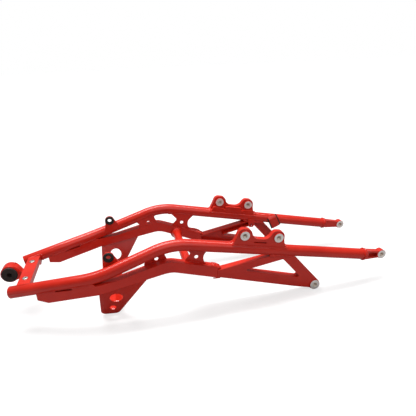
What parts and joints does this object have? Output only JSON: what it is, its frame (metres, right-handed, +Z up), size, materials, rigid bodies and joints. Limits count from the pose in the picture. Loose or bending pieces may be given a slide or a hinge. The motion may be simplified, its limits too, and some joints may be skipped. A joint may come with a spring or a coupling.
{
  "type": "motorcycle seat subframe",
  "caption": "Welded tubular rear seat subframe for a motorcycle: bent top rails, pressed lower members, open front trusses, grab-handle brackets, leaning hanger plates and a bushed tail.",
  "frame": {"origin": "on the ground under the middle of the bounding box; the frame stands on the lower corners of its two hanger plates and on its two lower front bosses", "axes": "+X towards the front of the vehicle, +Y to the vehicle's left, +Z up"},
  "size_m": [0.851, 0.2506, 0.1709],
  "materials": {
    "paint": "glossy red powder coat",
    "machined": "turned bare faces",
    "zinc": "zinc plated",
    "rubber": "matte black"
  },
  "bodies": {
    "root": {"top_rail_left": "paint", "top_rail_right": "paint", "front_fitting_left": "paint", "front_fitting_right": "paint", "front_eye_boss_left": "machined", "front_eye_boss_right": "machined", "lower_member_left": "paint", "lower_member_right": "paint", "inner_web_left": "paint", "inner_web_right": "paint", "rear_gusset_left": "paint", "rear_gusset_right": "paint", "front_gusset_left": "paint", "front_gusset_right": "paint", "side_truss_left": "paint", "side_truss_right": "paint", "lower_boss_left": "machined", "lower_boss_right": "machined", "truss_tab_left": "paint", "truss_tab_right": "paint", "grab_bracket_left": "paint", "grab_bracket_right": "paint", "grab_boss_rear_left": "machined", "grab_boss_rear_right": "machined", "grab_boss_front_left": "machined", "grab_boss_front_right": "machined", "hanger_plate_left": "paint", "hanger_plate_right": "paint", "grommet_tab_left": "paint", "grommet_tab_right": "paint", "grommet_left": "rubber", "grommet_right": "rubber", "tail_cross_member": "paint", "rivet_nut_left": "zinc", "rivet_nut_right": "zinc", "tail_arm": "paint", "bush_sleeve": "paint", "tail_bush": "rubber", "mid_cross_tube": "paint", "hanger_brace": "paint", "cable_strap": "paint", "strap_pad": "rubber"}
  },
  "joints": []
}
